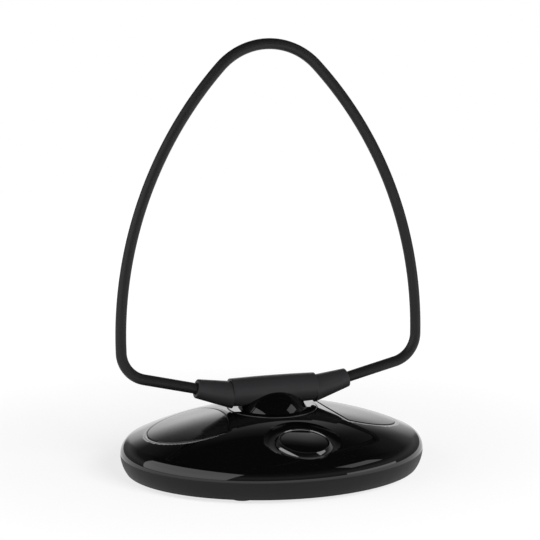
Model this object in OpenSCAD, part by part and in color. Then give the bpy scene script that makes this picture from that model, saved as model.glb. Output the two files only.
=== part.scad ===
/* [Base] */
// Width of the oval base
base_w = 205; // [190:1:240]
// Depth of the oval base
base_d = 177; // [165:1:205]
// Height of the seam between the glossy cover and the lower shell, above the table
seam_z = 15.2; // [13:0.1:20]
// Height of the dome's crown above the seam
crown_h = 30; // [27:0.5:36]
// Radius of the dome's big arc
dome_r = 237; // [220:1:300]
// Radius of the cover's rounded rim
rim_r = 10.7; // [8:0.1:12]
// Wall of the glossy cover
cover_wall = 3; // [2.6:0.1:3.4]
// Wall of the lower shell
shell_wall = 2.4; // [2:0.1:3]
// How far the lower shell's side pulls in towards the bottom
shell_inset = 3.8; // [2:0.1:6]
// Height of the lip that locates the cover on the lower shell
lip_h = 2; // [1:0.1:3]

/* [Feet] */
// Height of a foot below the lower shell
foot_h = 3.4; // [2:0.1:5]
// Radius of a foot
foot_r = 8; // [6:0.5:9]
// Distance of a foot from the middle, to the side
foot_x = 41; // [34:1:48]
// Distance of a foot from the middle, to the front or rear
foot_y = 59; // [50:1:62]

/* [Wing panels] */
// Thickness of a wing panel
wing_t = 1.3; // [1:0.1:1.5]
// Radius of a wing panel's round outer edge
wing_r = 33.5; // [28:0.5:36]
// Distance from the middle of the base to the middle of that round edge
wing_x = 52; // [48:0.5:56]
// Distance from the middle of the base to the panel's inner edge
wing_in = 35.5; // [33.5:0.5:40]
// Radius of the panel's bowed inner edge
wing_in_r = 80; // [50:1:160]
// Gap round a wing panel
wing_gap = 0.35; // [0.2:0.05:0.6]

/* [Badge] */
// Distance of the badge's middle from the middle of the base
badge_y = 61.5; // [58:0.5:64]
// Radius of the dish round the badge
dish_r = 25; // [22.5:0.5:26]
// Outer radius of the badge's ring
ring_r = 18.8; // [17:0.1:20]
// Radius of the badge's disc
disc_r = 15.4; // [13:0.1:16]
// Forward slope of the badge, in degrees
badge_tilt = 14.5; // [12:0.5:17]

/* [Neck and hub] */
// Radius of the turning disc under the neck
collar_r = 29.8; // [29:0.1:31]
// Thickness of the turning disc
collar_t = 2.6; // [2:0.1:3]
// Gap round the turning disc
collar_gap = 0.5; // [0.3:0.1:0.8]
// Radius of the neck where it meets its disc
neck_r = 23; // [21:0.5:26]
// Radius of the neck's hollow stem
stem_r = 12; // [10:0.5:13]
// Radial running clearance of the stem in its bore
stem_play = 0.05; // [0.02:0.01:0.1]
// Height of the hub's axis above the seam
hub_h = 40.2; // [39:0.1:44]
// Radius of the hub's middle piece at its ring seams
hub_r = 9.3; // [8.8:0.1:9.8]
// Swell of the hub's middle piece over that radius
hub_swell = 0.4; // [0.2:0.1:0.8]
// Distance of each ring seam from the middle of the hub
ring_x = 29.5; // [27:0.5:33]
// Wall of the hub's middle piece
hub_wall = 1.8; // [1.4:0.1:2.2]
// Distance of each sleeve's outer end from the middle of the hub
sleeve_x = 53.2; // [48:0.5:58]
// Radius of a sleeve at its outer end
sleeve_end_r = 6.3; // [5.4:0.1:7]
// Radius of a sleeve at its ring seam
sleeve_r = 8.9; // [8.4:0.1:9.1]

/* [Loop] */
// Height of the loop's top above the hub's axis, to the middle of the rod
loop_h = 229; // [200:1:260]
// Width of the loop, between the middles of the rod
loop_w = 207; // [180:1:230]
// Radius of the loop's top
apex_r = 45.7; // [35:0.5:60]
// Radius of the loop's long sides
side_r = 258; // [230:1:320]
// Radius of the loop's lower corners
corner_r = 19.5; // [14:0.5:26]
// Rise of the loop's legs towards the corners, in degrees
leg_rise = 13.4; // [11:0.1:15]
// Drop of the legs' line below the hub's axis at the ring seams
leg_drop = 1.24; // [0.5:0.01:1.6]
// Backward lean of the loop, in degrees
lean = 2; // [0:0.5:4]
// Diameter of the black jacket
jacket_d = 7.2; // [6.6:0.1:8]
// Diameter of the metal rod in the jacket
rod_d = 4; // [3:0.1:5]

/* [Cable outlet] */
// Radius of the hole for the aerial cable
cable_r = 2.5; // [2:0.1:2.8]
// Radius of the gland's body
gland_r = 3.9; // [3.5:0.1:4.2]
// Radius of the gland's outer flange
gland_flange_r = 4.8; // [4.5:0.1:5]
// Distance of the gland's outer face inside the rear of the base
gland_back = 0.2; // [0.1:0.1:0.5]

/* [Inside] */
// Thickness of the steel ballast plate
ballast_t = 2.5; // [2:0.1:3.5]
// Radius of the ballast plate at its round ends
ballast_r = 24; // [20:0.5:26]
// Distance between the middles of the ballast plate's round ends
ballast_span = 60; // [50:1:66]
// Width of the circuit board
board_w = 44; // [40:1:50]
// Depth of the circuit board
board_d = 26; // [24:1:30]
// Thickness of the circuit board
board_t = 1.6; // [1:0.1:2]
// Height of the screening can
can_h = 6; // [4:0.5:7]
// Radius of the feed cable on the swivel's axis
feed_r = 1.4; // [1:0.1:2]
// Radius of the screws' shanks
screw_r = 1.25; // [1:0.05:1.5]
// Clearance between pieces that are set into each other
fit = 0.15; // [0.1:0.01:0.25]

/* [Hidden] */
$fn = 64;

// Base: derived sizes
half_w = base_w / 2;
squash = base_d / base_w;
crown_z = seam_z + crown_h;
floor_top = foot_h + shell_wall;
floor_step = 0.4;
floor_r = 64;
shell_rise = seam_z - foot_h;
side_arc = (shell_inset * shell_inset + shell_rise * shell_rise) / (2 * shell_inset);
rim_x = half_w - rim_r;
rim_z = crown_z - dome_r + sqrt(pow(dome_r - rim_r, 2) - rim_x * rim_x);
rim_turn = asin(rim_x / (dome_r - rim_r));
rebate = shell_wall / 2;
eps = 0.01;
big = 2 * base_w;

// Height of the dome's outer face above a point of the plan
function dome_z(x, y = 0) = crown_z - dome_r + sqrt(dome_r * dome_r - x * x - pow(y / squash, 2));

// Swivel: derived sizes
collar_step = 0.3;
collar_z = dome_z(collar_r) + collar_step;
washer_t = 0.5;
seat_t = 2.4;
seat_z = collar_z - collar_t - washer_t;
seat_low = seat_z - seat_t;
stem_low = seat_low - fit;
stem_bore = stem_r - 3.6;
ring_t = 2;
ring_out = stem_r + 4;
stop_r = 1.5;
stop_at = ring_out + 2.5;
stop_l = ring_t + 0.6;
lug_half = 2;
hub_z = seam_z + hub_h;
hub_top_r = hub_r + hub_swell;
neck_rise = hub_z - collar_z;
neck_drop = (pow(neck_r, 2) - pow(hub_top_r, 2) - neck_rise * neck_rise) / (2 * neck_rise);
neck_ball = sqrt(pow(neck_r, 2) + neck_drop * neck_drop);
web_low = collar_z - collar_t + 0.6;
feed_hole = feed_r + 1;
hub_seat = 0.02;
hub_screw_x = 5.4;

// Loop: the corner's middle comes from the leg's line, the side arc's from the arcs it joins
leg_z0 = -leg_drop - ring_x * tan(leg_rise);
corner_x = loop_w / 2 - corner_r;
corner_z = leg_z0 + corner_x * tan(leg_rise) + corner_r / cos(leg_rise);
apex_z = loop_h - apex_r;
reach_a = side_r - apex_r;
reach_c = side_r - corner_r;
span = sqrt(corner_x * corner_x + pow(apex_z - corner_z, 2));
along = (reach_a * reach_a - reach_c * reach_c + span * span) / (2 * span);
aside = sqrt(reach_a * reach_a - along * along);
dir_x = corner_x / span;
dir_z = (corner_z - apex_z) / span;
side_x = dir_x * along + dir_z * aside;
side_z = apex_z + dir_z * along - dir_x * aside;
apex_turn = atan2(-side_x, apex_z - side_z);
side_end = atan2(corner_x - side_x, corner_z - side_z);
corner_end = 180 - leg_rise;
leg_top = corner_x + corner_r * sin(corner_end);
jacket_r = jacket_d / 2;
hair = 0.02;
tuck = 20;
rod_r = rod_d / 2;
jacket_x = ring_x + 4;
terminal_x = 17;
terminal_l = 7;
terminal_r = rod_r + 1;
spigot_r = hub_r - hub_wall - fit;
spigot_l = 4;

// Inner pieces: derived sizes and places
boss_r = 3.4;
boss_at = [for (a = [0, 180, 52, 128, 232, 308]) [(half_w - 17) * cos(a), (base_d / 2 - 15) * sin(a)]];
boss_split = floor_top + 5;
board_y = 46;
post_h = 3;
board_z = floor_top + post_h;
board_top = board_z + board_t;
board_holes = [for (x = [-1, 1], y = [-1, 1]) [x * (board_w / 2 - 3), board_y + y * (board_d / 2 - 3)]];
ballast_y = -14;
ballast_top = floor_top + ballast_t;
ballast_holes = [for (x = [-1, 1]) [x * ballast_span / 2, ballast_y]];
gland_z = foot_h + (seam_z - foot_h) / 2;
gland_end = base_d / 2 - gland_back;
gland_l = 9;
flange_t = 0.8;
gland_seat = gland_end - flange_t;
head_r = 2 * screw_r;
head_t = 1.2;
feed_z = board_top + feed_r;
feed_y = board_y - board_d / 2 + 3;
bend_r = 8;
feed_top = hub_z - hub_r + 0.4;
peg_r = 1.5;
peg_l = 3;
foot_well = 1;
clamp_z = floor_top + floor_step;
disc_t = 1.4;
badge_ring_t = 2.2;
dish_depth = 1.6;

// Turns a half section into an oval solid, made in equal sectors from a first seam
module oval(sectors, first) {
    scale([1, squash, 1]) for (i = [0 : sectors - 1]) rotate([0, 0, first + i * 360 / sectors])
        rotate_extrude(angle = 360 / sectors, $fn = 96) children();
}

module dome_oval() {
    oval(4, 45) children();
}

module tray_oval() {
    oval(1, 0) children();
}

// Half section of the dome above a level, set in from its outer face
module dome_half(inset, bottom) {
    far = rim_r + 4;
    radial = [rim_x + far * sin(rim_turn), rim_z + far * cos(rim_turn)];
    intersection() {
        union() {
            intersection() {
                translate([0, crown_z - dome_r]) circle(r = dome_r - inset, $fn = 360);
                polygon([[0, 0], [rim_x, 0], [rim_x, rim_z], radial, [radial[0], crown_z + 9],
                    [0, crown_z + 9]]);
            }
            intersection() {
                translate([rim_x, rim_z]) circle(r = rim_r - inset, $fn = 96);
                polygon([[rim_x, rim_z], radial, [half_w + 9, radial[1]], [half_w + 9, rim_z]]);
            }
            translate([rim_x, 0]) square([rim_r - inset, rim_z]);
        }
        translate([0, bottom]) square([half_w + 9, crown_z]);
    }
}

module dome_solid(inset, bottom) {
    dome_oval() dome_half(inset, bottom);
}

// Half section of the lower shell between two levels, set in from its outer face
module tray_half(inset, bottom, top) {
    intersection() {
        translate([half_w - side_arc, seam_z]) circle(r = side_arc - inset, $fn = 360);
        translate([0, bottom]) square([half_w + 9, top - bottom]);
    }
    translate([0, bottom]) square([half_w - side_arc, top - bottom]);
}

// A screw that points up, with its head's top face at the origin
module screw(length) {
    cylinder(r = screw_r, h = length, $fn = 32);
    translate([0, 0, -head_t]) cylinder(r = head_r, h = head_t, $fn = 32);
}

// A screw that points down from the origin
module screw_down(length) {
    mirror([0, 0, 1]) screw(length);
}

// Outline of the right wing panel, grown by a margin
module wing_outline(grow) {
    intersection() {
        translate([wing_x, 0]) circle(r = wing_r + grow, $fn = 120);
        translate([wing_in + wing_in_r, 0]) circle(r = wing_in_r + grow, $fn = 240);
    }
}

module wing_pegs(grow, length) {
    for (y = [-1, 1])
        translate([wing_x, y * wing_r / 2, dome_z(wing_x, wing_r / 2) - wing_t - length])
            cylinder(r = peg_r + grow, h = length, $fn = 32);
}

// Moves to the badge's middle on the dome, square to the badge's face
module badge_place() {
    translate([0, -badge_y, dome_z(0, badge_y)]) rotate([badge_tilt, 0, 0]) children();
}

module lower_shell() {
    color("#2b2b2d") difference() {
        union() {
            tray_oval() difference() {
                union() {
                    tray_half(0, foot_h, seam_z);
                    translate([half_w - shell_wall, seam_z - 1])
                        square([shell_wall - rebate - fit, lip_h + 1]);
                }
                tray_half(shell_wall, floor_top + floor_step, seam_z + lip_h + 1);
                square([floor_r - 2, seam_z]);
            }
            translate([0, 0, foot_h + floor_step]) linear_extrude(height = shell_wall - floor_step)
                scale([1, squash]) circle(r = floor_r, $fn = 120);
            for (b = boss_at) translate([b[0], b[1], foot_h]) cylinder(r = boss_r, h = boss_split - foot_h);
            for (b = board_holes) translate([b[0], b[1], foot_h]) cylinder(r = 2.4, h = board_z - foot_h);
            intersection() {
                tray_oval() tray_half(eps, foot_h + eps, seam_z - eps);
                translate([-gland_flange_r - 2, base_d / 2 - gland_l, foot_h])
                    cube([2 * gland_flange_r + 4, gland_l, shell_rise]);
            }
        }
        for (x = [-1, 1], y = [-1, 1])
            translate([x * foot_x, y * foot_y, foot_h - 1])
                cylinder(r = foot_r - 1, h = 1 + foot_well);
        for (b = boss_at) translate([b[0], b[1], foot_h - 1]) {
            cylinder(r = screw_r + fit, h = boss_split, $fn = 32);
            cylinder(r = head_r + fit, h = 1 + head_t, $fn = 32);
        }
        for (b = board_holes) translate([b[0], b[1], foot_h + 1])
            cylinder(r = screw_r, h = board_z, $fn = 32);
        for (b = ballast_holes) translate([b[0], b[1], foot_h + 0.6])
            cylinder(r = screw_r, h = shell_wall, $fn = 32);
        translate([0, base_d / 2 + 5, gland_z]) rotate([90, 0, 0])
            cylinder(r = gland_r + fit, h = gland_l + 15, $fn = 48);
        translate([0, gland_seat, gland_z]) rotate([-90, 0, 0])
            cylinder(r = gland_flange_r + fit, h = 9, $fn = 48);
    }
}

module top_cover() {
    color("#101012") difference() {
        union() {
            dome_oval() difference() {
                dome_half(0, seam_z);
                dome_half(cover_wall, seam_z - 1);
                translate([half_w - cover_wall - 1, seam_z - 1])
                    square([cover_wall + 1 - rebate, lip_h + 1 + fit]);
            }
            translate([0, 0, seat_low])
                cylinder(r = collar_r + 2.5, h = dome_z(0, collar_r + 2.5) - 1 - seat_low);
            translate([0, -stop_at, seat_low - stop_l]) cylinder(r = stop_r, h = stop_l + 1, $fn = 32);
            intersection() {
                dome_solid(cover_wall / 2, boss_split);
                union() {
                    for (b = boss_at) translate([b[0], b[1], boss_split])
                        cylinder(r = boss_r, h = crown_h);
                    badge_place() translate([0, 0, -9]) cylinder(r = ring_r + 2, h = 9);
                    for (side = [0, 1]) mirror([side, 0, 0]) for (y = [-1, 1])
                        translate([wing_x, y * wing_r / 2, dome_z(wing_x, wing_r / 2) - wing_t - peg_l - 1.4])
                            cylinder(r = peg_r + 1.6, h = peg_l + 1);
                }
            }
        }
        translate([0, 0, seat_z]) cylinder(r = collar_r + collar_gap, h = crown_z, $fn = 120);
        translate([0, 0, seat_low - 1]) cylinder(r = stem_r + stem_play, h = crown_z, $fn = 96);
        for (side = [0, 1]) mirror([side, 0, 0]) {
            difference() {
                translate([0, 0, seam_z + 3]) linear_extrude(height = crown_h) wing_outline(wing_gap);
                dome_solid(wing_t, seam_z);
            }
            wing_pegs(fit, peg_l + 0.5);
        }
        badge_place() {
            translate([0, 0, -dish_depth]) cylinder(r1 = ring_r + 1, r2 = dish_r, h = dish_depth, $fn = 120);
            cylinder(r = dish_r, h = 9, $fn = 120);
            translate([0, 0, -dish_depth - badge_ring_t + 1]) cylinder(r = ring_r + fit, h = 9, $fn = 96);
        }
        for (b = boss_at) translate([b[0], b[1], boss_split - 1])
            cylinder(r = screw_r, h = 7, $fn = 32);
    }
}

module wing_panel() {
    color("#17171a") {
        intersection() {
            translate([0, 0, seam_z + 3]) linear_extrude(height = crown_h) wing_outline(0);
            dome_oval() difference() {
                dome_half(0, seam_z);
                dome_half(wing_t, seam_z - 1);
            }
        }
        wing_pegs(0, peg_l);
    }
}

module wing_panel_right() wing_panel();

module wing_panel_left() mirror([1, 0, 0]) wing_panel();

module badge_ring() {
    color("#1b1b1d") badge_place() translate([0, 0, -dish_depth - badge_ring_t + 1])
        rotate_extrude($fn = 120) difference() {
            polygon([[disc_r + fit - 2, 0], [ring_r, 0], [ring_r, badge_ring_t],
                [ring_r - 1, badge_ring_t + 1.2], [ring_r - 2.4, badge_ring_t + 1.2],
                [disc_r + fit, badge_ring_t]]);
            translate([0, disc_t]) square([disc_r + fit, badge_ring_t]);
        }
}

module badge_disc() {
    color("#0d0d0f") badge_place() translate([0, 0, -dish_depth - badge_ring_t + 1 + disc_t])
        rotate_extrude($fn = 96) polygon([[0, 0], [disc_r, 0], [disc_r, disc_t - 0.3], [disc_r - 0.3, disc_t],
            [0, disc_t]]);
}

module foot(x, y) {
    color("#222222") translate([x * foot_x, y * foot_y, 0]) rotate_extrude($fn = 64)
        polygon([[0, 0], [foot_r - 1, 0], [foot_r, 1], [foot_r, foot_h], [foot_r - 1 - fit, foot_h],
            [foot_r - 1 - fit, foot_h + foot_well], [0, foot_h + foot_well]]);
}

module foot_front_left() foot(-1, -1);

module foot_front_right() foot(1, -1);

module foot_rear_left() foot(-1, 1);

module foot_rear_right() foot(1, 1);

module cable_gland() {
    color("#1c1c1e") translate([0, gland_end, gland_z]) rotate([90, 0, 0]) rotate_extrude($fn = 64)
        polygon([[cable_r, 0], [gland_flange_r - 0.4, 0], [gland_flange_r, 0.4], [gland_flange_r, flange_t],
            [gland_r, flange_t], [gland_r, gland_l], [cable_r, gland_l]]);
}

module ballast_plate() {
    color("#8a8d90") translate([0, ballast_y, floor_top]) difference() {
        linear_extrude(height = ballast_t) union() {
            for (x = [-1, 1]) translate([x * ballast_span / 2, 0]) circle(r = ballast_r, $fn = 96);
            square([ballast_span, 2 * ballast_r], center = true);
        }
        for (x = [-1, 1]) translate([x * ballast_span / 2, 0, -1])
            cylinder(r = screw_r + fit, h = ballast_t + 2, $fn = 32);
    }
}

module ballast_screws() {
    color("#b5b7ba") for (b = ballast_holes) translate([b[0], b[1], ballast_top])
        screw_down(ballast_t + shell_wall / 2);
}

module circuit_board() {
    color("#2f6b3a") translate([0, board_y, board_z]) difference() {
        translate([-board_w / 2, -board_d / 2, 0]) cube([board_w, board_d, board_t]);
        for (x = [-1, 1], y = [-1, 1]) translate([x * (board_w / 2 - 3), y * (board_d / 2 - 3), -1])
            cylinder(r = screw_r + fit, h = board_t + 2, $fn = 32);
    }
}

module board_screws() {
    color("#b5b7ba") for (b = board_holes) translate([b[0], b[1], board_top]) screw_down(board_t + 3);
}

module shield_can() {
    color("#c9ccd0") translate([-board_w / 2 + 6, board_y - 8, board_top]) difference() {
        cube([18, 16, can_h]);
        translate([0.4, 0.4, -1]) cube([17.2, 15.2, can_h + 0.6]);
    }
}

module balun_core() {
    color("#3b3b40") translate([11, board_y, board_top]) difference() {
        translate([-4.5, -4, 0]) cube([9, 8, 5]);
        for (x = [-2, 2]) translate([x, 5, 2.5]) rotate([90, 0, 0]) cylinder(r = 1, h = 10, $fn = 32);
    }
}

module board_chips() {
    color("#50504c") for (i = [0 : 3]) translate([-board_w / 2 + 9 + 3.4 * i, board_y - 3, board_top])
        cube([2, 3.2, 1]);
}

module cable_clamp() {
    color("#d6d6d2") translate([0, base_d / 2 - gland_l - 5, clamp_z]) difference() {
        translate([-6, -2, 0]) cube([12, 4, gland_z + cable_r - clamp_z + 1]);
        translate([0, 4, gland_z - clamp_z]) rotate([90, 0, 0]) cylinder(r = cable_r, h = 8, $fn = 48);
    }
}

module feed_cable() {
    color("#e2e0da") {
        translate([0, feed_y, feed_z]) rotate([90, 0, 0]) cylinder(r = feed_r, h = feed_y - bend_r, $fn = 32);
        translate([0, bend_r, feed_z + bend_r]) rotate([90, 0, 90]) rotate([0, 0, 180])
            rotate_extrude(angle = 90, $fn = 64) translate([bend_r, 0]) circle(r = feed_r, $fn = 32);
        translate([0, 0, feed_z + bend_r]) cylinder(r = feed_r, h = feed_top - feed_z - bend_r, $fn = 32);
    }
}

module cover_screws() {
    color("#6f7174") for (b = boss_at) translate([b[0], b[1], foot_h + head_t]) screw(boss_split - foot_h + 3);
}

module friction_washer() {
    color("#d9d4c4") translate([0, 0, seat_z]) difference() {
        cylinder(r = collar_r - 2, h = washer_t, $fn = 96);
        translate([0, 0, -1]) cylinder(r = stem_r + 4 * fit, h = washer_t + 2, $fn = 96);
    }
}

// Shape of the hub's middle piece about the X axis, grown by a margin
module hub_barrel(grow, half_l) {
    steps = 12;
    rotate([0, 90, 0]) rotate_extrude($fn = 96) polygon([[0, -half_l],
        for (i = [-steps : steps]) let (t = i / steps)
            [hub_top_r - hub_swell * t * t * pow(half_l / ring_x, 2) + grow, half_l * t],
        [0, half_l]]);
}

module neck() {
    color("#101012") difference() {
        rotate_extrude($fn = 120) difference() {
            union() {
                intersection() {
                    translate([0, collar_z - neck_drop]) circle(r = neck_ball, $fn = 240);
                    translate([0, collar_z - eps]) square([neck_r + 1, neck_ball]);
                }
                polygon([[0, collar_z - collar_t], [collar_r, collar_z - collar_t], [collar_r, collar_z - 0.5],
                    [collar_r - 0.5, collar_z], [0, collar_z]]);
                translate([0, stem_low]) square([stem_r, collar_z - collar_t - stem_low]);
            }
            translate([0, stem_low - 1]) square([stem_bore, web_low - stem_low + 1]);
        }
        translate([0, 0, hub_z]) hub_barrel(hub_seat, ring_x + 9);
        translate([0, 0, web_low - 1]) cylinder(r = feed_hole, h = neck_rise, $fn = 48);
        for (x = [-1, 1]) translate([x * hub_screw_x, 0, web_low - 1])
            cylinder(r = screw_r + fit, h = neck_rise, $fn = 32);
        for (a = [30, 150, 270]) rotate([0, 0, a]) translate([stem_r - 1.9, 0, stem_low - 1])
            cylinder(r = screw_r, h = 7, $fn = 32);
    }
}

module retaining_ring() {
    color("#3c3c3f") translate([0, 0, stem_low - ring_t]) difference() {
        union() {
            cylinder(r = ring_out, h = ring_t, $fn = 96);
            translate([-lug_half, 0, 0]) cube([2 * lug_half, stop_at + stop_r / 2, ring_t]);
        }
        translate([0, 0, -1]) cylinder(r = stem_bore, h = ring_t + 2, $fn = 64);
        for (a = [30, 150, 270]) rotate([0, 0, a]) translate([stem_r - 1.9, 0, -1])
            cylinder(r = screw_r + fit, h = ring_t + 2, $fn = 32);
    }
}

module retainer_screws() {
    color("#b5b7ba") for (a = [30, 150, 270]) rotate([0, 0, a])
        translate([stem_r - 1.9, 0, stem_low - ring_t]) screw(ring_t + 5);
}

module hub_centre() {
    color("#242426") translate([0, 0, hub_z]) difference() {
        hub_barrel(0, ring_x);
        translate([-ring_x - 1, 0, 0]) rotate([0, 90, 0])
            cylinder(r = hub_r - hub_wall, h = 2 * ring_x + 2, $fn = 96);
        translate([0, 0, -hub_top_r - 1]) cylinder(r = feed_hole, h = hub_top_r, $fn = 48);
        for (x = [-1, 1]) translate([x * hub_screw_x, 0, -hub_top_r - 1])
            cylinder(r = screw_r, h = hub_top_r, $fn = 32);
    }
}

module hub_screws() {
    color("#b5b7ba") for (x = [-1, 1]) translate([x * hub_screw_x, 0, web_low])
        screw(hub_z - hub_top_r + hub_wall - web_low);
}

// Turns a child that runs along +X so that it follows the right leg, from the ring seam's plane
module on_leg(x) {
    translate([0, 0, hub_z]) rotate([-lean, 0, 0])
        translate([x, 0, leg_z0 + x * tan(leg_rise)]) rotate([0, 90 - leg_rise, 0]) children();
}

module hub_sleeve() {
    lead = 8;
    length = (sleeve_x - ring_x) / cos(leg_rise);
    slope = (sleeve_r - sleeve_end_r) / length;
    color("#242426") difference() {
        union() {
            intersection() {
                on_leg(ring_x - lead * cos(leg_rise)) union() {
                    cylinder(r1 = sleeve_r + slope * lead, r2 = sleeve_end_r + slope,
                        h = length + lead - 1, $fn = 96);
                    translate([0, 0, length + lead - 1])
                        cylinder(r1 = sleeve_end_r + slope, r2 = sleeve_end_r - 0.6, h = 1, $fn = 96);
                }
                translate([ring_x + 0.02, -big, 0]) cube([big, 2 * big, big]);
            }
            translate([ring_x - spigot_l, 0, hub_z]) rotate([0, 90, 0])
                cylinder(r = spigot_r, h = spigot_l + 1, $fn = 96);
        }
        on_leg(jacket_x - 0.5) cylinder(r = jacket_r + fit, h = length + 9, $fn = 64);
        on_leg(ring_x - 9) cylinder(r = rod_r + fit, h = 20, $fn = 48);
    }
}

module hub_sleeve_right() hub_sleeve();

module hub_sleeve_left() mirror([1, 0, 0]) hub_sleeve();

// One arc of the loop, about its middle, from one angle to another off the vertical
module loop_arc(x, z, r, from, to, outer, inner) {
    translate([x, 0, z]) rotate([90, 0, 0]) rotate([0, 0, 90 - to])
        rotate_extrude(angle = to - from, $fn = 180) translate([r, 0]) difference() {
            circle(r = outer, $fn = 24);
            if (inner > 0) circle(r = inner, $fn = 24);
        }
}

// The loop: the sides and legs are thinner by a hair and run a little way into the top and corners
module loop(outer, inner, end_x) {
    thin = outer - hair;
    bore = inner > 0 ? inner + hair : 0;
    translate([0, 0, hub_z]) rotate([-lean, 0, 0]) {
        loop_arc(0, apex_z, apex_r, -apex_turn, apex_turn, outer, inner);
        for (side = [0, 1]) mirror([side, 0, 0]) {
            loop_arc(side_x, side_z, side_r, apex_turn - tuck / side_r, side_end + tuck / side_r, thin, bore);
            loop_arc(corner_x, corner_z, corner_r, side_end, corner_end, outer, inner);
            translate([end_x, 0, leg_z0 + end_x * tan(leg_rise)]) rotate([0, 90 - leg_rise, 0])
                difference() {
                    cylinder(r = thin, h = (leg_top - end_x) / cos(leg_rise) + 0.4, $fn = 24);
                    if (inner > 0) translate([0, 0, -1])
                        cylinder(r = bore, h = (leg_top - end_x) / cos(leg_rise) + 2, $fn = 24);
                }
        }
    }
}

module loop_jacket() {
    color("#202022") loop(jacket_r, rod_r, jacket_x);
}

module loop_rod() {
    color("#b9bcc0") loop(rod_r, 0, terminal_x + 1);
}

module terminal() {
    color("#c8a24a") on_leg(terminal_x) difference() {
        cylinder(r = terminal_r, h = terminal_l, $fn = 48);
        translate([0, 0, 1]) cylinder(r = rod_r, h = terminal_l, $fn = 48);
        translate([0, 0, terminal_l / 2]) rotate([0, -90, 0]) cylinder(r = screw_r, h = terminal_r + 1, $fn = 32);
    }
}

module terminal_right() terminal();

module terminal_left() mirror([1, 0, 0]) terminal();

module terminal_screws() {
    color("#b5b7ba") for (side = [0, 1]) mirror([side, 0, 0])
        on_leg(terminal_x) translate([0, 0, terminal_l / 2]) rotate([0, -90, 0])
            translate([0, 0, rod_r]) cylinder(r = screw_r, h = 3, $fn = 32);
}

lower_shell();
top_cover();
wing_panel_left();
wing_panel_right();
badge_ring();
badge_disc();
foot_front_left();
foot_front_right();
foot_rear_left();
foot_rear_right();
cable_gland();
ballast_plate();
ballast_screws();
circuit_board();
board_screws();
shield_can();
balun_core();
board_chips();
cable_clamp();
feed_cable();
cover_screws();
friction_washer();
neck();
retaining_ring();
retainer_screws();
hub_centre();
hub_screws();
hub_sleeve_left();
hub_sleeve_right();
loop_jacket();
loop_rod();
terminal_left();
terminal_right();
terminal_screws();
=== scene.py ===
"""Looks of an indoor TV aerial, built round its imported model.

The model stands on the table in metres, +Z up, with its badge facing -Y. The glossy
pieces are remade here as smooth surfaces, and the other nodes get their materials."""

import math
from types import SimpleNamespace

import bmesh
import bpy
import numpy as np
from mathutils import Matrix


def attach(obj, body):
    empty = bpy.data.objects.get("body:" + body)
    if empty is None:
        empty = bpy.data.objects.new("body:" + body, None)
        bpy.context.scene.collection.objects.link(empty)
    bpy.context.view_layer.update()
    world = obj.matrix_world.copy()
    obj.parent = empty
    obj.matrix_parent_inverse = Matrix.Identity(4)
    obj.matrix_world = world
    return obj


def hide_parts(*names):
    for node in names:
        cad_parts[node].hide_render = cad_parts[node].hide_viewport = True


bl_info = {
    "name": "Indoor TV aerial",
    "version": (1, 0, 0),
    "blender": (4, 5, 0),
    "location": "View3D > Sidebar > Aerial",
    "description": "Builds the looks of a desktop TV aerial round its packed model",
    "category": "Object",
}

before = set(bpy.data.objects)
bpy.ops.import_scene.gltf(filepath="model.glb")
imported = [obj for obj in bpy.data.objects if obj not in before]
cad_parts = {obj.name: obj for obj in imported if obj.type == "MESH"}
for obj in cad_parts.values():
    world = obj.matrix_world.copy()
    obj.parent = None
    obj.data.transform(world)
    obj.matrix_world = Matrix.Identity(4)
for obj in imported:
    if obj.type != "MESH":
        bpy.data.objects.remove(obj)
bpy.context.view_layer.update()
MM = 0.001


# Sizes and finishes that a user would change


def length(name, default, description):
    """A size that a user can change, with its default in millimetres."""
    return bpy.props.FloatProperty(
        name=name, description=description, default=default * MM, unit="LENGTH", precision=5
    )


def colour(name, default, description):
    """A colour that a user can change."""
    return bpy.props.FloatVectorProperty(
        name=name, description=description, default=default, subtype="COLOR", min=0, max=1
    )


def share(name, default, description):
    """A number from 0 to 1 that a user can change."""
    return bpy.props.FloatProperty(
        name=name, description=description, default=default, subtype="FACTOR", min=0, max=1
    )


class AerialSizes(bpy.types.PropertyGroup):
    base_width: length("Base width", 205, "Width of the oval base")
    base_depth: length("Base depth", 177, "Depth of the oval base")
    seam_height: length("Seam height", 15.2, "Height of the seam under the glossy cover")
    crown_height: length("Crown height", 30, "Height of the dome's crown above the seam")
    dome_radius: length("Dome radius", 237, "Radius of the dome's big arc")
    rim_radius: length("Rim radius", 10.7, "Radius of the cover's rounded rim")
    cover_wall: length("Cover wall", 3, "Wall of the glossy cover")
    wing_thickness: length("Wing thickness", 1.3, "Thickness of a wing panel")
    wing_gap: length("Wing gap", 0.35, "Gap round a wing panel")
    wing_edge: length("Wing edge", 0.3, "Rounding of a wing panel's edge")
    badge_distance: length("Badge distance", 61.5, "Middle of the base to the badge's middle")
    collar_radius: length("Collar radius", 29.8, "Radius of the turning disc under the neck")
    neck_radius: length("Neck radius", 23, "Radius of the neck where it meets its disc")
    hub_height: length("Hub height", 40.2, "Height of the hub's axis above the seam")
    hub_radius: length("Hub radius", 9.3, "Radius of the hub at its ring seams")
    ring_distance: length("Ring distance", 29.5, "Middle of the hub to each ring seam")
    sleeve_distance: length("Sleeve distance", 53.2, "Middle of the hub to each sleeve's end")
    loop_height: length("Loop height", 229, "Height of the loop above the hub's axis")
    loop_width: length("Loop width", 207, "Width of the loop between the rod's middles")
    jacket_diameter: length("Jacket diameter", 7.2, "Diameter of the loop's black jacket")
    loop_lean: bpy.props.FloatProperty(
        name="Loop lean",
        description="How far the loop leans back",
        default=math.radians(2),
        unit="ROTATION",
    )


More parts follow.
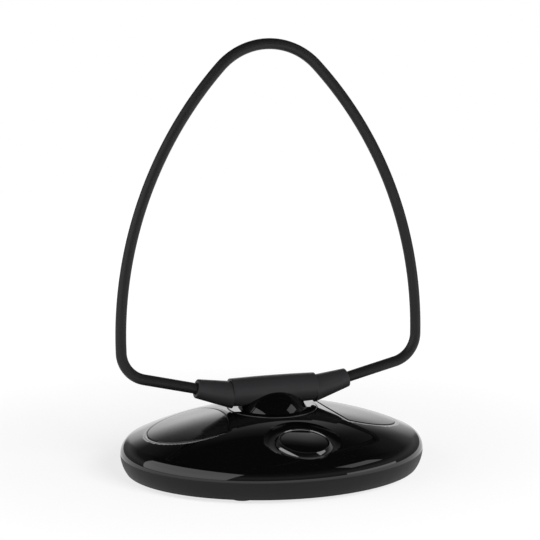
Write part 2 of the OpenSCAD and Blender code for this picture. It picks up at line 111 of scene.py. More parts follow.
class AerialFinish(bpy.types.PropertyGroup):
    gloss_black: colour("Gloss black", (0.0012, 0.0012, 0.0014), "Cover, neck and badge")
    panel_black: colour("Panel black", (0.0025, 0.0025, 0.003), "The two wing panels")
    shell_black: colour("Shell black", (0.0035, 0.0035, 0.0037), "Matte lower shell")
    hub_black: colour("Hub black", (0.015, 0.015, 0.016), "Hub and its sleeves")
    jacket_black: colour("Jacket black", (0.006, 0.006, 0.0063), "The loop's jacket")
    rubber_black: colour("Rubber black", (0.012, 0.012, 0.012), "Feet and cable gland")
    gloss_roughness: share("Gloss roughness", 0.03, "Roughness of the glossy black plastic")
    panel_roughness: share("Panel roughness", 0.15, "Roughness of the wing panels")
    matte_roughness: share("Matte roughness", 0.5, "Roughness of the matte black plastic")
    jacket_roughness: share("Jacket roughness", 0.45, "Roughness of the loop's jacket")


class AerialStudio(bpy.types.PropertyGroup):
    lens: bpy.props.FloatProperty(
        name="Lens", description="Focal length", default=137.25, unit="CAMERA"
    )
    camera_place: bpy.props.FloatVectorProperty(
        name="Camera place",
        description="Where the camera stands",
        default=(-0.4457, -1.2644, 0.3574),
        subtype="TRANSLATION",
    )
    camera_turn: bpy.props.FloatVectorProperty(
        name="Camera turn",
        description="How the camera is turned",
        default=(math.radians(80.62), 0, math.radians(-19.35)),
        subtype="EULER",
    )
    floor_size: bpy.props.FloatProperty(
        name="Floor size", description="Width of the pale floor", default=3, unit="LENGTH"
    )
    backdrop_way: bpy.props.FloatProperty(
        name="Backdrop's way",
        description="Turn from +Y to the middle of the bright backdrop",
        default=math.radians(18),
        unit="ROTATION",
    )
    room_level: share("Room level", 0.012, "Strength of the even light away from the backdrop")


def sizes():
    """The user's sizes with what follows from them, as one set of named numbers in metres."""
    p = bpy.context.scene.aerial_sizes
    half_w = p.base_width / 2
    crown_z = p.seam_height + p.crown_height
    rim_x = half_w - p.rim_radius
    reach = p.dome_radius - p.rim_radius
    squash = p.base_depth / p.base_width
    rim_z = crown_z - p.dome_radius + math.sqrt(reach**2 - rim_x**2)
    collar_z = (
        crown_z - p.dome_radius + math.sqrt(p.dome_radius**2 - p.collar_radius**2) + 0.3 * MM
    )
    return SimpleNamespace(
        p=p,
        squash=squash,
        dome_z=crown_z - p.dome_radius,
        rim_x=rim_x,
        rim_z=rim_z,
        rim_turn=math.asin(rim_x / reach),
        collar_z=collar_z,
        hub_z=p.seam_height + p.hub_height,
        jacket_r=p.jacket_diameter / 2,
    )


# Shader maths as plain expressions


class Wire:
    """An output of a shader node. Arithmetic on it adds Math nodes."""

    def __init__(self, recipe, socket):
        self.recipe, self.socket = recipe, socket

    def __add__(self, other):
        return self.recipe.maths("ADD", self, other)

    def __sub__(self, other):
        return self.recipe.maths("SUBTRACT", self, other)

    def __rsub__(self, other):
        return self.recipe.maths("SUBTRACT", other, self)

    def __mul__(self, other):
        return self.recipe.maths("MULTIPLY", self, other)

    def __gt__(self, other):
        return self.recipe.maths("GREATER_THAN", self, other)

    __radd__, __rmul__ = __add__, __mul__


class Recipe:
    """A material or world node tree that is written as expressions."""

    def __init__(self, owner):
        owner.use_nodes = True
        self.tree = owner.node_tree
        self.tree.nodes.clear()

    def node(self, kind, settings=None, inputs=None, output=0):
        """Adds a node, sets its settings first, then gives its sockets values or wires."""
        made = self.tree.nodes.new("ShaderNode" + kind)
        for key, value in (settings or {}).items():
            if key == "stops":
                for place, (position, shade) in enumerate(value):
                    stops = made.color_ramp.elements
                    stop = stops[place] if place < 2 else stops.new(position)
                    stop.position, stop.color = position, (shade, shade, shade, 1)
            else:
                setattr(made, key, value)
        for key, value in (inputs or {}).items():
            if isinstance(value, Wire):
                self.tree.links.new(value.socket, made.inputs[key])
            else:
                made.inputs[key].default_value = value
        return Wire(self, made.outputs[output]) if made.outputs else None

    def maths(self, operation, *values):
        """One step of arithmetic on wires and numbers."""
        return self.node("Math", {"operation": operation}, dict(enumerate(values)))

    def place(self):
        """The point's place in the object's own coordinates."""
        return self.node("TexCoord", output="Object")

    def noise(self, per_metre, detail, stretch=(1, 1, 1)):
        """Noise with so many waves to the metre and so many finer layers over them."""
        spot = self.node("Mapping", {}, {"Vector": self.place(), "Scale": stretch})
        return self.node(
            "TexNoise", {}, {"Vector": spot, "Scale": per_metre, "Detail": detail}, "Fac"
        )

    def eased(self, value, span, low, high):
        """Goes smoothly from low to high while the value goes through the span."""
        limits = {"From Min": span[0], "From Max": span[1], "To Min": low, "To Max": high}
        settings = {"interpolation_type": "SMOOTHSTEP"}
        return self.node("MapRange", settings, {"Value": value, **limits})

    def mix(self, factor, a, b):
        """Colour between a and b."""
        return self.node("Mix", {"data_type": "RGBA"}, {0: factor, 6: a, 7: b}, 2)


def finish(name, base, roughness, bump, height, **constants):
    """A Principled material: base, roughness and bump are made by functions of the recipe, height
    is the bump's in metres, and the constants sit on the shader's own sockets."""
    material = bpy.data.materials.new(name)
    recipe = Recipe(material)
    inputs = {"Base Color": base(recipe), "Roughness": roughness(recipe)}
    relief = {"Height": bump(recipe), "Distance": height}
    inputs["Normal"] = recipe.node("Bump", {}, relief)
    shader = recipe.node("BsdfPrincipled", {}, {**inputs, **constants})
    recipe.node("OutputMaterial", {}, {"Surface": shader})
    return material


def shade(rgb, lift):
    """A colour times a lift, fully opaque."""
    return tuple(channel * lift for channel in rgb) + (1,)


def gloss(name, rgb, roughness, **lacquer):
    """Polished black plastic: deep and even, with a trace of polish haze and handling marks. The
    lacquer's constants make it mirror more."""
    return finish(
        name,
        lambda r: r.mix(r.noise(25, 3), shade(rgb, 0.9), shade(rgb, 1.15)),
        lambda r: roughness + 0.05 * (r.noise(60, 4) > 0.62) * r.noise(900, 2),
        lambda r: r.noise(35, 1),
        0.02 * MM,
        **{"IOR": 1.52, **lacquer},
    )


def moulded(name, rgb, roughness, grain, height):
    """Matte moulded plastic: a fine spark-eroded grain over a slightly uneven sheen."""
    return finish(
        name,
        lambda r: r.mix(r.noise(40, 4), shade(rgb, 0.85), shade(rgb, 1.2)),
        lambda r: roughness - 0.06 + 0.12 * r.noise(120, 3),
        lambda r: r.noise(grain, 3),
        height,
        **{"Specular IOR Level": 0.25},
    )


def metal(name, rgb, roughness, stretch):
    """Bright metal with drawn or rolled lines along one axis."""
    return finish(
        name,
        lambda r: r.mix(r.noise(300, 3, stretch), shade(rgb, 0.85), shade(rgb, 1.05)),
        lambda r: roughness + 0.18 * r.noise(900, 3, stretch),
        lambda r: r.noise(1500, 2, stretch),
        0.01 * MM,
        Metallic=1.0,
    )


# Surfaces


def surface(name, points):
    """A mesh on a grid of points: rows run along the shape and columns run around it and close.
    Rows that shrink to one point become a pole. The sum of the volumes between the origin and
    each face is below zero when the faces point inwards, and they are then turned round."""
    rows, columns = points.shape[:2]
    index = np.arange(rows * columns).reshape(rows, columns)
    beside = np.roll(index, -1, axis=1)
    quads = np.stack([index[:-1], beside[:-1], beside[1:], index[1:]], -1).reshape(-1, 4)
    flat = points.reshape(-1, 3)
    a, b, c, d = (flat[quads[:, k]] for k in range(4))
    volume = np.einsum("ij,ij->i", a, np.cross(b, c) + np.cross(c, d)).sum()
    if volume < 0:
        quads = quads[:, ::-1]
    mesh = bpy.data.meshes.new(name)
    mesh.from_pydata(flat.tolist(), [], quads.tolist())
    shape = bmesh.new()
    shape.from_mesh(mesh)
    bmesh.ops.remove_doubles(shape, verts=shape.verts, dist=1e-7)
    shape.to_mesh(mesh)
    shape.free()
    return mesh


def turned(profile, columns=256, squash=1.0):
    """Grid of a profile of (radius, height) turned about +Z, with Y squashed."""
    angle = np.linspace(0, 2 * math.pi, columns, endpoint=False)
    r, z = np.asarray(profile, float).T
    x = r[:, None] * np.cos(angle)
    y = r[:, None] * np.sin(angle) * squash
    return np.stack([x, y, np.broadcast_to(z[:, None], x.shape)], -1)


def arc(middle, radius, start, end, steps):
    """Points of a circle's arc, with angles in radians off +Z towards +X."""
    angle = np.linspace(start, end, steps)
    return np.stack(
        [middle[0] + radius * np.sin(angle), middle[1] + radius * np.cos(angle)], -1
    )


def path(*parts):
    """Profile points joined end to end."""
    return np.concatenate([np.atleast_2d(np.asarray(part, float)) for part in parts])


def turn_x(points, angle):
    """Points turned about the X axis by an angle."""
    c, s = math.cos(angle), math.sin(angle)
    return points @ np.array([[1, 0, 0], [0, c, s], [0, -s, c]])


def mirrored(points):
    """Points with +X and -X exchanged."""
    return points * np.array([-1, 1, 1])


def piece(name, mesh, material, body, replaces, crease=32):
    """Puts a finished mesh into the scene on a body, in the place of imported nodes. It is smooth
    but for the edges sharper than the crease, in degrees."""
    made = bpy.data.objects.new(name, mesh)
    bpy.context.scene.collection.objects.link(made)
    mesh.materials.clear()
    mesh.materials.append(material)
    mesh.shade_smooth()
    mesh.set_sharp_from_angle(angle=math.radians(crease))
    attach(made, body)
    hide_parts(*replaces)


def pair(name, rows, look, body, node):
    """The right piece of a pair, from its grid, and its mirror image on the left."""
    for side, grid in (("right", rows), ("left", mirrored(rows))):
        title = f"{name}_{side}"
        piece(title, surface(title, grid), material(look), body, [f"{node}_{side}"])


def carved(mesh, cutters):
    """The mesh with each cutter's solid taken out of it."""
    body = bpy.data.objects.new("carving", mesh)
    bpy.context.scene.collection.objects.link(body)
    tools = []
    for number, cutter in enumerate(cutters):
        tool = bpy.data.objects.new("cutter", cutter)
        bpy.context.scene.collection.objects.link(tool)
        cut = body.modifiers.new(f"cut{number}", "BOOLEAN")
        cut.operation, cut.solver, cut.object = "DIFFERENCE", "EXACT", tool
        tools.append(tool)
    depsgraph = bpy.context.evaluated_depsgraph_get()
    result = bpy.data.meshes.new_from_object(body.evaluated_get(depsgraph))
    for spare in [body, *tools]:
        bpy.data.objects.remove(spare)
    return result


def dress(material, *nodes):
    """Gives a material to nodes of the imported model."""
    for name in nodes:
        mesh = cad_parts[name].data
        mesh.materials.clear()
        mesh.materials.append(material)


# Fixed measures of the shapes, and of the studio's light

# Leaf-shaped panel in plan: its outer edge's circle, its inner edge's circle, and its middle
WING_X, WING_R = 52 * MM, 33.5 * MM
WING_IN, WING_IN_R = 35.5 * MM, 80 * MM
WING_MIDDLE = np.array([60 * MM, 0.0])

# Rounded edge of a panel's well: its width and its depth
WELL_LIP, WELL_DIP = 2.6 * MM, 0.7 * MM

# Opening in the cover for the turning disc: the heights under and over the cover between which
# it is cut, the gap round the disc, and the disc's depth
OPENING_FROM, OPENING_TO, OPENING_GAP, DISC_DEPTH = 20 * MM, 60 * MM, 0.5 * MM, 2.6 * MM

# Badge: its tilt, how deep its seat lies under the dome, and the sections of the dish, the ring
# and the disc in millimetres: radius, and height over the dome for the dish or over the seat
BADGE_TILT = math.radians(14.5)
RING_SINK = 2.8 * MM
DISH_SECTION = (
    (0, -2.8),
    (18.95, -2.8),
    (18.95, -2.25),
    (19.8, -2.25),
    (21.5, -2.18),
    (23.0, -1.98),
    (24.0, -1.73),
    (24.5, -1.53),
    (24.9, -1.4),
    (25.4, -1.31),
    (26.0, -1.2),
    (26.0, 9),
    (0, 9),
)
RING_SECTION = (
    (15.55, 0),
    (18.8, 0),
    (18.8, 1.2),
    (18.65, 1.45),
    (16.6, 3.2),
    (16.4, 3.36),
    (16.15, 3.36),
    (15.95, 3.2),
    (15.55, 2.3),
    (15.55, 0),
)
DISC_SECTION = ((0, 1.4), (15.4, 1.4), (15.4, 2.4), (15.25, 2.7), (14.9, 2.8), (0, 2.8))

# Hub: how much its middle swells, how far the hollow for it runs out past the ring seams and its
# clearance
HUB_SWELL, HOLLOW_REACH, HUB_GAP = 0.4 * MM, 9 * MM, 0.02 * MM

# Legs of the loop: their slope and how far their line passes below the hub's axis at the seams
LEG_RISE, LEG_DROP = math.radians(13.4), 1.24 * MM

# Sleeve: its radii at the hub and at the lip, the lip's rounding, and its bore's gap, mouth, depth
SLEEVE_R, SLEEVE_END_R, SLEEVE_LIP = 8.9 * MM, 6.3 * MM, 0.9 * MM
BORE_GAP, BORE_MOUTH, BORE_DEPTH = 0.25 * MM, 0.3 * MM, 6 * MM

# Loop: radii of the top's, the sides' and the corners' arcs, the jacket's bore, and how far each
# end goes into its sleeve
APEX_R, SIDE_R, CORNER_R = 45.7 * MM, 258 * MM, 19.5 * MM
JACKET_BORE, JACKET_INSIDE = 2 * MM, 4 * MM

# Lacquer of the badge's ring, which mirrors more than the gloss round it
LACQUER = {"Specular IOR Level": 1.0, "Coat Weight": 1.0, "Coat IOR": 1.8}

# Lamps: name, place, width and height, watts, and whether gloss mirrors it. All face one point.
LAMP_AIM = (0, 0, 0.1)
LAMPS = (
    ("left_softbox", (-1.5, -0.27, 0.75), (2.9, 1.5), 21, True),
    ("right_softbox", (1.3, -0.75, 0.13), (1.2, 0.22), 1.4, True),
    ("high_softbox", (1.2, -0.56, 1.15), (0.85, 0.5), 1.5, True),
    ("front_softbox", (0.35, -1.5, 0.75), (1, 0.6), 36, False),
)

# Backdrop: its greatest strength, its share of that by the sine of the height, the turn in
# radians over which it fades to its sides, and the share left there
BACKDROP_TOP = 1.9
BACKDROP_RISE = (
    (0.0, 0.6),
    (0.1, 0.62),
    (0.17, 0.78),
    (0.27, 1.0),
    (0.37, 0.7),
    (0.47, 0.24),
    (0.6, 0.15),
    (0.68, 0.04),
    (0.75, 0.0),
)
BACKDROP_FADE, BACKDROP_SIDES = (0.12, 0.37), 0.13

# Floor: its glow near the object, kept lower there as a painted shade round the object, and far
# off, the distances in metres between which it grows, and the share of that glow in what the
# camera sees
FLOOR_NEAR_PAINTED_SHADE, FLOOR_FAR, FLOOR_SPAN, FLOOR_SHARE = 1.05, 1.38, (0.1, 0.6), 0.7


# Shapes that several pieces share


def dome_height(s, x, y):
    """Height of the dome over a point of the plan: the big sphere's height at (x, y / squash)."""
    return s.dome_z + np.sqrt(s.p.dome_radius**2 - x**2 - (y / s.squash) ** 2)


def dome_profile(s, inset, steps=90):
    """Half section of the dome from the pole to the seam, set in from its outer face: the big arc
    and then the rim's arc, down to the seam's height."""
    rim_end = math.pi / 2 + math.asin(
        max(0.0, s.rim_z - s.p.seam_height) / (s.p.rim_radius - inset)
    )
    big = arc((0, s.dome_z), s.p.dome_radius - inset, 0, s.rim_turn, steps)
    rim = arc((s.rim_x, s.rim_z), s.p.rim_radius - inset, s.rim_turn, rim_end, steps // 3)
    rim[:, 1] = np.maximum(rim[:, 1], s.p.seam_height)
    return path(big, rim[1:])


def wing_outline(grow, columns=360):
    """Leaf outline in plan, grown by a margin: the round outer edge's circle, cut by the bowed
    inner edge's bigger circle. Each ray from the leaf's middle meets the nearer circle."""
    angle = np.linspace(0, 2 * math.pi, columns, endpoint=False)
    ray = np.stack([np.cos(angle), np.sin(angle)], -1)
    reach = []
    for centre, radius in ((WING_X, WING_R + grow), (WING_IN + WING_IN_R, WING_IN_R + grow)):
        offset = WING_MIDDLE - np.array([centre, 0.0])
        along = ray @ offset
        reach.append(-along + np.sqrt(along**2 - offset @ offset + radius**2))
    return WING_MIDDLE + ray * np.minimum(*reach)[:, None]


def wing_solid(s, rows):
    """Rings round a leaf that follow the dome. Each row is (growth of the outline, depth under
    the dome), and a growth of None shrinks the ring to the leaf's middle, which closes it."""
    grid = []
    for grow, depth in rows:
        outline = wing_outline(grow or 0.0)
        if grow is None:
            outline = np.broadcast_to(WING_MIDDLE, outline.shape)
        height = dome_height(s, outline[:, 0], outline[:, 1]) - depth
        grid.append(np.column_stack([outline, height]))
    return np.array(grid)


def filled(s, grow, depth, steps=24):
    """Rows of a leaf from its middle out to its edge at one depth under the dome."""
    share_out = np.linspace(0, 1, steps)[:, None, None]
    plan = WING_MIDDLE + (wing_outline(grow) - WING_MIDDLE) * share_out
    height = dome_height(s, plan[..., 0], plan[..., 1]) - depth
    return np.concatenate([plan, height[..., None]], -1)


def badge_place(s, points):
    """Points moved to the badge's middle on the dome, square to the badge's face."""
    height = float(dome_height(s, 0.0, s.p.badge_distance))
    return turn_x(points, BADGE_TILT) + np.array([0, -s.p.badge_distance, height])


def leg_height(s):
    """Height of the legs' line over the hub's axis at the middle of the hub."""
    return -LEG_DROP - s.p.ring_distance * math.tan(LEG_RISE)


def lean_back(s, points):
    """Points of the loop's plane, leaned back about the hub's axis and lifted to it."""
    return turn_x(points, -s.p.loop_lean) + np.array([0, 0, s.hub_z])


def loop_path(s, end_x, leg_steps=20):
    """Middle line of the loop in its own plane, and its outward direction: half of it is the top's
    arc, the side's arc, the corner's arc and the straight leg, and the other half mirrors it. The
    side's middle is where two circles about the other arcs' middles meet."""
    corner_x = s.p.loop_width / 2 - CORNER_R
    leg_z = leg_height(s) + corner_x * math.tan(LEG_RISE)
    corner = np.array([corner_x, leg_z + CORNER_R / math.cos(LEG_RISE)])
    apex = np.array([0.0, s.p.loop_height - APEX_R])
    span = np.linalg.norm(corner - apex)
    reach_a, reach_c = SIDE_R - APEX_R, SIDE_R - CORNER_R
    along = (reach_a**2 - reach_c**2 + span**2) / (2 * span)
    aside = math.sqrt(reach_a**2 - along**2)
    ahead = (corner - apex) / span
    side = apex + ahead * along + np.array([ahead[1], -ahead[0]]) * aside
    apex_turn = math.atan2(-side[0], apex[1] - side[1])
    side_end = math.atan2(corner[0] - side[0], corner[1] - side[1])
    corner_end = math.pi - LEG_RISE
    leg_top = corner[0] + CORNER_R * math.sin(corner_end)
    turns, points = [], []
    for middle, radius, start, end, steps in (
        (apex, APEX_R, 0, apex_turn, 24),
        (side, SIDE_R, apex_turn, side_end, 60),
        (corner, CORNER_R, side_end, corner_end, 28),
    ):
        points.append(arc(middle, radius, start, end, steps)[:-1])
        turns.append(np.linspace(start, end, steps)[:-1])
    leg_x = np.linspace(leg_top, end_x, leg_steps)
    points.append(np.stack([leg_x, leg_height(s) + leg_x * math.tan(LEG_RISE)], -1))
    turns.append(np.full(leg_steps, corner_end))
    points, turns = np.concatenate(points), np.concatenate(turns)
    points = np.concatenate([(points * [-1, 1])[:0:-1], points])
    turns = np.concatenate([-turns[:0:-1], turns])
    return points, np.stack([np.sin(turns), np.cos(turns)], -1)


def tube(s, end_x, radius, bore, columns=32):
    """Tube along the loop: a ring in the plane of the loop's outward direction and +Y at each
    point of its path, with the bore's rings joining the two ends inside."""
    points, outward = loop_path(s, end_x)
    angle = np.linspace(0, 2 * math.pi, columns, endpoint=False)

    def rings(r):
        flat = points[:, None, :] + outward[:, None, :] * (r * np.cos(angle))[:, None]
        y = np.broadcast_to(r * np.sin(angle), flat.shape[:2])
        return lean_back(s, np.stack([flat[..., 0], y, flat[..., 1]], -1))

    outer, inner = rings(radius), rings(bore)
    return np.concatenate([outer, inner[::-1], outer[:1]])


def on_leg(s, x, along, across):
    """Points round the right leg: along is the way up the leg from x, and across is (towards the
    loop's inside, +Y)."""
    c, si = math.cos(LEG_RISE), math.sin(LEG_RISE)
    px = x + along * c - across[..., 0] * si
    pz = leg_height(s) + x * math.tan(LEG_RISE) + along * si + across[..., 0] * c
    return lean_back(s, np.stack([px, across[..., 1], pz], -1))


def sleeve_points(s, columns=96):
    """Sleeve as rings round the leg: its inner end is cut square to the hub, its cone narrows to
    a rounded lip, and a bore goes in round the jacket."""
    angle = np.linspace(0, 2 * math.pi, columns, endpoint=False)
    c, si = math.cos(LEG_RISE), math.sin(LEG_RISE)
    whole = (s.p.sleeve_distance - s.p.ring_distance) / c
    slope = (SLEEVE_R - SLEEVE_END_R) / whole
    cone_end = whole - SLEEVE_LIP
    start = SLEEVE_R * np.cos(angle) * si / (c + slope * np.cos(angle) * si)
    rows = [(start * 0, np.zeros_like(angle))]
    for t in np.linspace(0, 1, 14):
        along = start + (cone_end - start) * t
        rows.append((along, SLEEVE_R - slope * along))
    edge = SLEEVE_END_R + slope * SLEEVE_LIP
    hole = s.jacket_r + BORE_GAP
    lip = arc((cone_end, edge - SLEEVE_LIP), SLEEVE_LIP, 0, math.pi / 2, 7)[1:]
    bore = [
        (whole, hole + BORE_MOUTH),
        (whole - BORE_MOUTH, hole),
        (whole - BORE_DEPTH, hole),
        (whole - BORE_DEPTH, 0),
    ]
    for along, radius in path(lip, bore):
        rows.append((np.full_like(angle, along), np.full_like(angle, radius)))
    grid = []
    for along, radius in rows:
        across = np.stack([radius * np.cos(angle), radius * np.sin(angle)], -1)
        grid.append(on_leg(s, s.p.ring_distance, along, across))
    return np.array(grid)


def barrel(s, grow, half_length, steps=24, edge=0.0):
    """Hub's barrel about the X axis: its radius falls off with the square of the distance from
    the middle, and its two edges are rounded where an edge is given."""
    x = np.linspace(-1, 1, 2 * steps + 1) * (half_length - edge)
    r = s.p.hub_radius + HUB_SWELL * (1 - (x / s.p.ring_distance) ** 2) + grow
    side = np.stack([r, x], -1)
    if edge:
        cap = arc((r[-1] - edge, half_length - edge), edge, math.pi / 2, 0, 5)
        side = path((cap * [1, -1])[::-1], side[1:-1], cap)
    grid = turned(path([(0, -half_length)], side, [(0, half_length)]), 128)
    return np.stack([grid[..., 2], grid[..., 1], -grid[..., 0]], -1) + np.array([0, 0, s.hub_z])


# Operators, one for each piece or group of like pieces


class AERIAL_OT_cover(bpy.types.Operator):
    """Builds the glossy cover: a turned shell with two wells, the badge's dish and an opening"""

    bl_idname = "aerial.cover"
    bl_label = "Glossy cover"

    def execute(self, context):
        s = sizes()
        p = s.p
        outer = dome_profile(s, 0)
        inner = dome_profile(s, p.cover_wall)
        shell = turned(path(outer, inner[::-1]), 384, s.squash)
        gap = p.wing_gap
        flare = [
            (gap + WELL_LIP * (1 - math.cos(a)), WELL_DIP * (1 - math.sin(a)))
            for a in np.radians([0, 15, 30, 42, 54, 66, 76, 84])
        ]
        above = -1.2 * MM
        out = [(gap + 1.05 * WELL_LIP, -0.2 * MM), (gap + 1.1 * WELL_LIP, above), (None, above)]
        well = np.concatenate([filled(s, gap, p.wing_thickness), wing_solid(s, flare + out)])
        dish = turned(np.array(DISH_SECTION) * MM, 240)
        low, high, wide = OPENING_FROM, OPENING_TO, p.collar_radius + OPENING_GAP
        opening = turned([(0, low), (wide, low), (wide, high), (0, high)], 240)
        mesh = carved(
            surface("cover", shell),
            [
                surface("well_right", well),
                surface("well_left", mirrored(well)),
                surface("dish", badge_place(s, dish)),
                surface("opening", opening),
            ],
        )
        piece("glossy_cover", mesh, material("gloss"), "base", ["top_cover"])
        return {"FINISHED"}


class AERIAL_OT_wings(bpy.types.Operator):
    """Builds the two leaf-shaped panels, which follow the dome and have rounded edges"""

    bl_idname = "aerial.wings"
    bl_label = "Wing panels"

    def execute(self, context):
        s = sizes()
        edge, deep = s.p.wing_edge, s.p.wing_thickness
        rounding = [
            (-edge * (1 - math.cos(a)), edge * (1 - math.sin(a)))
            for a in np.linspace(0, math.pi / 2, 7)
        ]
        rows = np.concatenate(
            [
                filled(s, -0.15 * MM, deep),
                wing_solid(s, [(0, deep - 0.15 * MM)] + rounding),
                filled(s, -edge - 0.1 * MM, 0.0)[::-1],
            ]
        )
        pair("leaf", rows, "panel", "base", "wing_panel")
        return {"FINISHED"}


class AERIAL_OT_badge(bpy.types.Operator):
    """Builds the badge's ring with its broad chamfer, and the plain disc inside it"""

    bl_idname = "aerial.badge"
    bl_label = "Badge ring and disc"

    def execute(self, context):
        s = sizes()
        looks = (("badge_ring", RING_SECTION, "lacquer"), ("badge_disc", DISC_SECTION, "gloss"))
        for name, section, look in looks:
            profile = np.array(section) * MM - np.array([0, RING_SINK])
            mesh = surface(name, badge_place(s, turned(profile, 192)))
            piece(f"turned_{name}", mesh, material(look), "base", [name], 24)
        return {"FINISHED"}


class AERIAL_OT_neck(bpy.types.Operator):
    """Builds the neck: a domed cap on the turning disc, hollowed where the hub lies in it"""

    bl_idname = "aerial.neck"
    bl_label = "Neck"

    def execute(self, context):
        s = sizes()
        p = s.p
        top_r = p.hub_radius + HUB_SWELL
        rise = s.hub_z - s.collar_z
        drop = (p.neck_radius**2 - top_r**2 - rise**2) / (2 * rise)
        ball = math.hypot(p.neck_radius, drop)
        foot_turn = math.atan2(p.neck_radius, drop)
        edge = 0.5 * MM
        rim = arc((p.collar_radius - edge, s.collar_z - edge), edge, math.pi / 2, 0, 7)
        cap = arc((0, s.collar_z - drop), ball, foot_turn, 0, 48)
        low = s.collar_z - DISC_DEPTH
        profile = path([(0, low), (p.collar_radius, low)], rim, cap)
        hollow = surface("barrel", barrel(s, HUB_GAP, p.ring_distance + HOLLOW_REACH))
        mesh = carved(surface("neck", turned(profile, 256)), [hollow])
        piece("glossy_neck", mesh, material("gloss"), "head", ["neck"])
        return {"FINISHED"}


class AERIAL_OT_hub(bpy.types.Operator):
    """Builds the hub's barrel and the two tapered sleeves that hold the loop's ends"""

    bl_idname = "aerial.hub"
    bl_label = "Hub and sleeves"

    def execute(self, context):
        s = sizes()
        middle = surface("barrel", barrel(s, 0, s.p.ring_distance, edge=0.12 * MM))
        piece("hub_barrel", middle, material("hub"), "head", ["hub_centre"])
        pair("sleeve", sleeve_points(s), "hub", "head", "hub_sleeve")
        return {"FINISHED"}


class AERIAL_OT_loop(bpy.types.Operator):
    """Builds the loop's black jacket as one smooth tube along its path"""

    bl_idname = "aerial.loop"
    bl_label = "Loop jacket"

    def execute(self, context):
        s = sizes()
        grid = tube(s, s.p.ring_distance + JACKET_INSIDE, s.jacket_r, JACKET_BORE)
        mesh = surface("loop_tube", grid)
        piece("loop_tube", mesh, material("jacket"), "head", ["loop_jacket"])
        return {"FINISHED"}


class AERIAL_OT_plain_parts(bpy.types.Operator):
    """Gives the nodes that keep their own shape their materials"""

    bl_idname = "aerial.plain_parts"
    bl_label = "Shell, feet and inner pieces"

    def execute(self, context):
        dress(material("shell"), "lower_shell", "retaining_ring")
        feet = [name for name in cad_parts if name.startswith("foot_")]
        dress(material("rubber"), *feet, "cable_gland")
        dress(material("steel"), "ballast_plate", "shield_can")
        dress(material("screw"), *(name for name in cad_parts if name.endswith("_screws")))
        dress(material("board"), "circuit_board")
        dress(material("ferrite"), "balun_core", "board_chips")
        dress(material("nylon"), "cable_clamp", "feed_cable", "friction_washer")
        dress(material("rod"), "loop_rod")
        dress(material("brass"), "terminal_left", "terminal_right")
        return {"FINISHED"}


class AERIAL_OT_stage(bpy.types.Operator):
    """Sets the camera, the pale floor, the soft lamps and the white background"""

    bl_idname = "aerial.stage"
    bl_label = "Stage"

    def execute(self, context):
        scene = context.scene
        studio = scene.aerial_studio
        camera = bpy.data.objects.new("camera", bpy.data.cameras.new("camera"))
        camera.data.lens = studio.lens
        camera.data.sensor_width = 36
        camera.data.clip_end = 20
        camera.location = studio.camera_place
        camera.rotation_euler = studio.camera_turn
        scene.collection.objects.link(camera)
        scene.camera = camera
        scene.view_settings.view_transform = "Standard"
        self.floor(scene, studio.floor_size / 2)
        for lamp in LAMPS:
            self.lamp(scene, *lamp)
        self.world(scene, studio)
        return {"FINISHED"}

    def lamp(self, scene, name, place, size, power, in_gloss):
        """A rectangular soft lamp at a place, turned to face the lamps' common aim."""
        light = bpy.data.lights.new(name, "AREA")
        light.shape, light.size, light.size_y = "RECTANGLE", *size
        light.energy = power
        lamp = bpy.data.objects.new(name, light)
        ray = np.array(LAMP_AIM) - np.array(place)
        flat = math.hypot(ray[0], ray[1])
        lamp.location = place
        lamp.rotation_euler = (math.atan2(flat, -ray[2]), 0, math.atan2(-ray[0], ray[1]))
        lamp.visible_camera = False
        lamp.visible_glossy = in_gloss
        scene.collection.objects.link(lamp)

    def floor(self, scene, half):
        """A pale floor that is lit by the lamps and seen as white, but keeps the shadow."""
        corner = np.array([[-half, -half, 0], [half, -half, 0], [half, half, 0], [-half, half, 0]])
        mesh = bpy.data.meshes.new("floor")
        mesh.from_pydata(corner.tolist(), [], [(0, 1, 2, 3)])
        mesh.materials.append(floor_paint())
        floor = bpy.data.objects.new("floor", mesh)
        scene.collection.objects.link(floor)

    def world(self, scene, studio):
        """White where the camera looks. All other rays, such as reflections, meet a backdrop
        behind the object that is bright near the horizon and fades upwards and to both sides."""
        world = bpy.data.worlds.new("studio")
        scene.world = world
        recipe = Recipe(world)
        way = recipe.node("TexCoord", output="Generated")
        x, y, z = (recipe.node("SeparateXYZ", {}, {0: way}, axis) for axis in range(3))
        rise = recipe.node("ValToRGB", {"stops": BACKDROP_RISE}, {0: z}) * BACKDROP_TOP
        aside = recipe.maths("ABSOLUTE", recipe.maths("ARCTAN2", x, y) - studio.backdrop_way)
        spread = recipe.eased(aside, BACKDROP_FADE, 1.0, BACKDROP_SIDES)
        seen = recipe.node("LightPath", output="Is Camera Ray")
        strength = seen + (1 - seen) * (rise * spread + studio.room_level)
        shader = recipe.node("Background", {}, {"Color": (1, 1, 1, 1), "Strength": strength})
        recipe.node("OutputWorld", {}, {"Surface": shader})


def floor_paint():
    """Pale matte paint that also glows where the camera or gloss sees it, a little more further
    off, so that the plain floor is white and the shadow still darkens it. The weaker glow near the
    object is a painted shade round it."""
    paint = bpy.data.materials.new("floor_paint")
    recipe = Recipe(paint)
    matte = recipe.node("BsdfDiffuse", {}, {"Color": (0.9, 0.9, 0.9, 1)})
    camera, mirror, through = (
        recipe.node("LightPath", output=f"Is {kind} Ray")
        for kind in ("Camera", "Glossy", "Transmission")
    )
    away = recipe.node("VectorMath", {"operation": "LENGTH"}, {0: recipe.place()}, "Value")
    # The glow is weaker near the object than far off: a painted shade on the floor round it.
    painted_shade_glow = recipe.eased(away, FLOOR_SPAN, FLOOR_NEAR_PAINTED_SHADE, FLOOR_FAR)
    white = recipe.node("Emission", {}, {"Color": painted_shade_glow})
    seen = camera + mirror + through
    both = recipe.node("MixShader", {}, {0: seen * FLOOR_SHARE, 1: matte, 2: white})
    recipe.node("OutputMaterial", {}, {"Surface": both})
    return paint


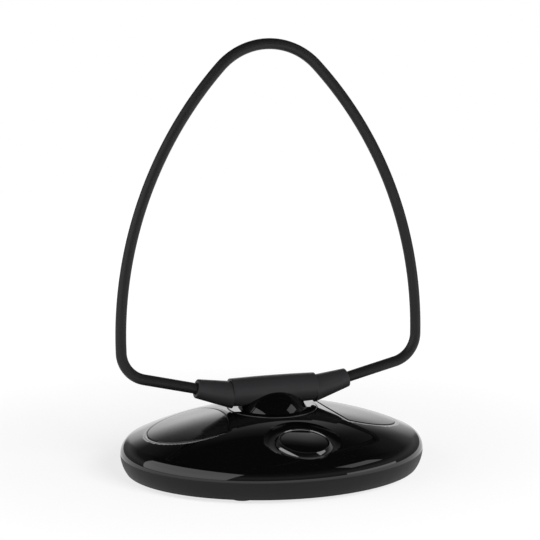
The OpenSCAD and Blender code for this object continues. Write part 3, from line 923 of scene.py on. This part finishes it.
def material(name):
    """The named finish, made once from the user's colours."""
    if name in bpy.data.materials:
        return bpy.data.materials[name]
    f = bpy.context.scene.aerial_finish
    along_x, all_round = (0.05, 1, 1), (1, 1, 1)
    recipes = {
        "gloss": lambda: gloss(name, f.gloss_black, f.gloss_roughness),
        "panel": lambda: gloss(name, f.panel_black, f.panel_roughness),
        "shell": lambda: moulded(name, f.shell_black, f.matte_roughness, 2600, 0.015 * MM),
        "hub": lambda: moulded(name, f.hub_black, f.matte_roughness - 0.08, 3000, 0.008 * MM),
        "jacket": lambda: moulded(name, f.jacket_black, f.jacket_roughness, 3000, 0.004 * MM),
        "rubber": lambda: moulded(name, f.rubber_black, 0.72, 1200, 0.08 * MM),
        "ferrite": lambda: moulded(name, (0.05, 0.05, 0.055), 0.65, 2200, 0.03 * MM),
        "nylon": lambda: moulded(name, (0.7, 0.69, 0.65), 0.45, 1500, 0.02 * MM),
        "board": lambda: moulded(name, (0.03, 0.16, 0.06), 0.35, 900, 0.03 * MM),
        "lacquer": lambda: gloss(name, f.gloss_black, f.gloss_roughness * 2, **LACQUER),
        "steel": lambda: metal(name, (0.5, 0.51, 0.52), 0.28, along_x),
        "screw": lambda: metal(name, (0.55, 0.56, 0.57), 0.25, all_round),
        "rod": lambda: metal(name, (0.7, 0.71, 0.72), 0.22, all_round),
        "brass": lambda: metal(name, (0.62, 0.46, 0.2), 0.24, all_round),
    }
    return recipes[name]()


class AERIAL_PT_panel(bpy.types.Panel):
    """Lists the aerial's build steps and sizes"""

    bl_idname = "AERIAL_PT_panel"
    bl_label = "Indoor TV aerial"
    bl_space_type = "VIEW_3D"
    bl_region_type = "UI"
    bl_category = "Aerial"

    def draw(self, context):
        for step in STEPS:
            self.layout.operator(step.bl_idname)
        for group in ("aerial_sizes", "aerial_finish", "aerial_studio"):
            settings = getattr(context.scene, group)
            box = self.layout.box()
            for name in settings.__annotations__:
                box.prop(settings, name)


GROUPS = {
    "aerial_sizes": AerialSizes,
    "aerial_finish": AerialFinish,
    "aerial_studio": AerialStudio,
}
STEPS = (
    AERIAL_OT_cover,
    AERIAL_OT_wings,
    AERIAL_OT_badge,
    AERIAL_OT_neck,
    AERIAL_OT_hub,
    AERIAL_OT_loop,
    AERIAL_OT_plain_parts,
    AERIAL_OT_stage,
)


def register():
    for entry in (*GROUPS.values(), *STEPS, AERIAL_PT_panel):
        bpy.utils.register_class(entry)
    for name, group in GROUPS.items():
        setattr(bpy.types.Scene, name, bpy.props.PointerProperty(type=group))


def unregister():
    for name in GROUPS:
        delattr(bpy.types.Scene, name)
    for entry in (AERIAL_PT_panel, *STEPS[::-1], *GROUPS.values()):
        bpy.utils.unregister_class(entry)


def main():
    register()
    bpy.ops.aerial.cover()
    bpy.ops.aerial.wings()
    bpy.ops.aerial.badge()
    bpy.ops.aerial.neck()
    bpy.ops.aerial.hub()
    bpy.ops.aerial.loop()
    bpy.ops.aerial.plain_parts()
    bpy.ops.aerial.stage()


if __name__ == "__main__":
    main()
